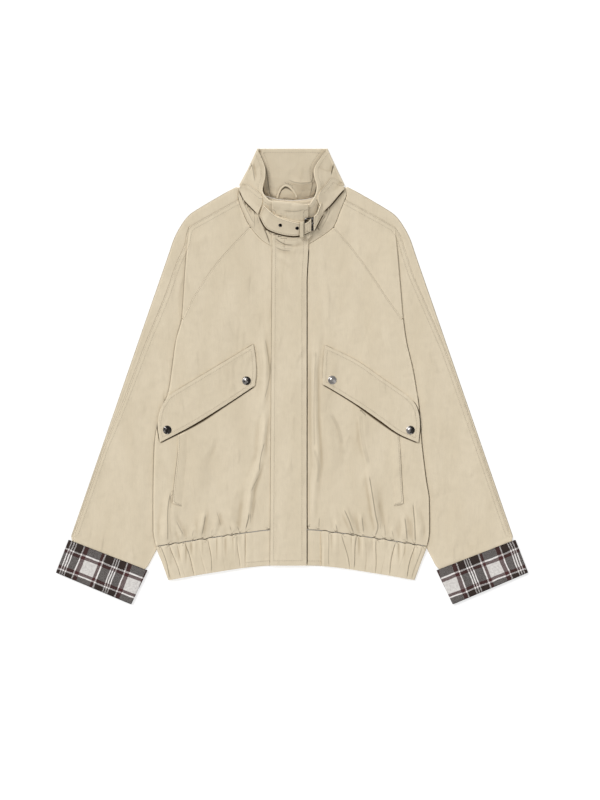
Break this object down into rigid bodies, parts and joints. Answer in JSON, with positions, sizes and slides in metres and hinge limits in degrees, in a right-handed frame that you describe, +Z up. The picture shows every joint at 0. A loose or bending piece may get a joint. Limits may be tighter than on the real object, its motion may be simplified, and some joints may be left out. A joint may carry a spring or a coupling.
{
  "type": "utility jacket",
  "caption": "Boxy cotton jacket laid flat, front up: raglan sleeves, tall collar with a buckled throat strap, slanted pocket flaps, gathered hem band, turned-back checked cuffs.",
  "frame": {"origin": "centre of the laid jacket's outline, on the surface it lies on", "axes": "+X towards the wearer's left (the viewer's right), +Y towards the collar, +Z up off the surface; the front of the jacket faces up"},
  "size_m": [0.7574, 0.7313, 0.0377],
  "materials": {
    "twill": "light stone cotton twill, matt",
    "twill_inside": "light stone cotton twill, matt, slightly darker",
    "check": "woven check of charcoal, brown, grey and off-white, matt",
    "metal": "polished gunmetal"
  },
  "bodies": {
    "root": {"back": "twill", "front_right": "twill", "front_left": "twill", "sleeve_front_right": "twill", "sleeve_front_left": "twill", "sleeve_back_right": "twill", "sleeve_back_left": "twill", "placket": "twill", "flap_right": "twill", "flap_left": "twill", "welt_right": "twill", "welt_left": "twill", "hem_band": "twill", "hem_tab_right": "twill", "hem_tab_left": "twill", "collar": "twill", "wing_right": "twill", "wing_left": "twill", "strap": "twill", "strap_under": "twill", "strap_short": "twill", "strap_keeper": "twill", "hanger_loop": "twill_inside", "cuff_right": "check", "cuff_left": "check", "snap_right_inner": "metal", "snap_right_outer": "metal", "snap_left_inner": "metal", "snap_left_outer": "metal", "eyelet_1": "metal", "eyelet_2": "metal", "buckle_frame": "metal", "buckle_prong": "metal"}
  },
  "joints": []
}
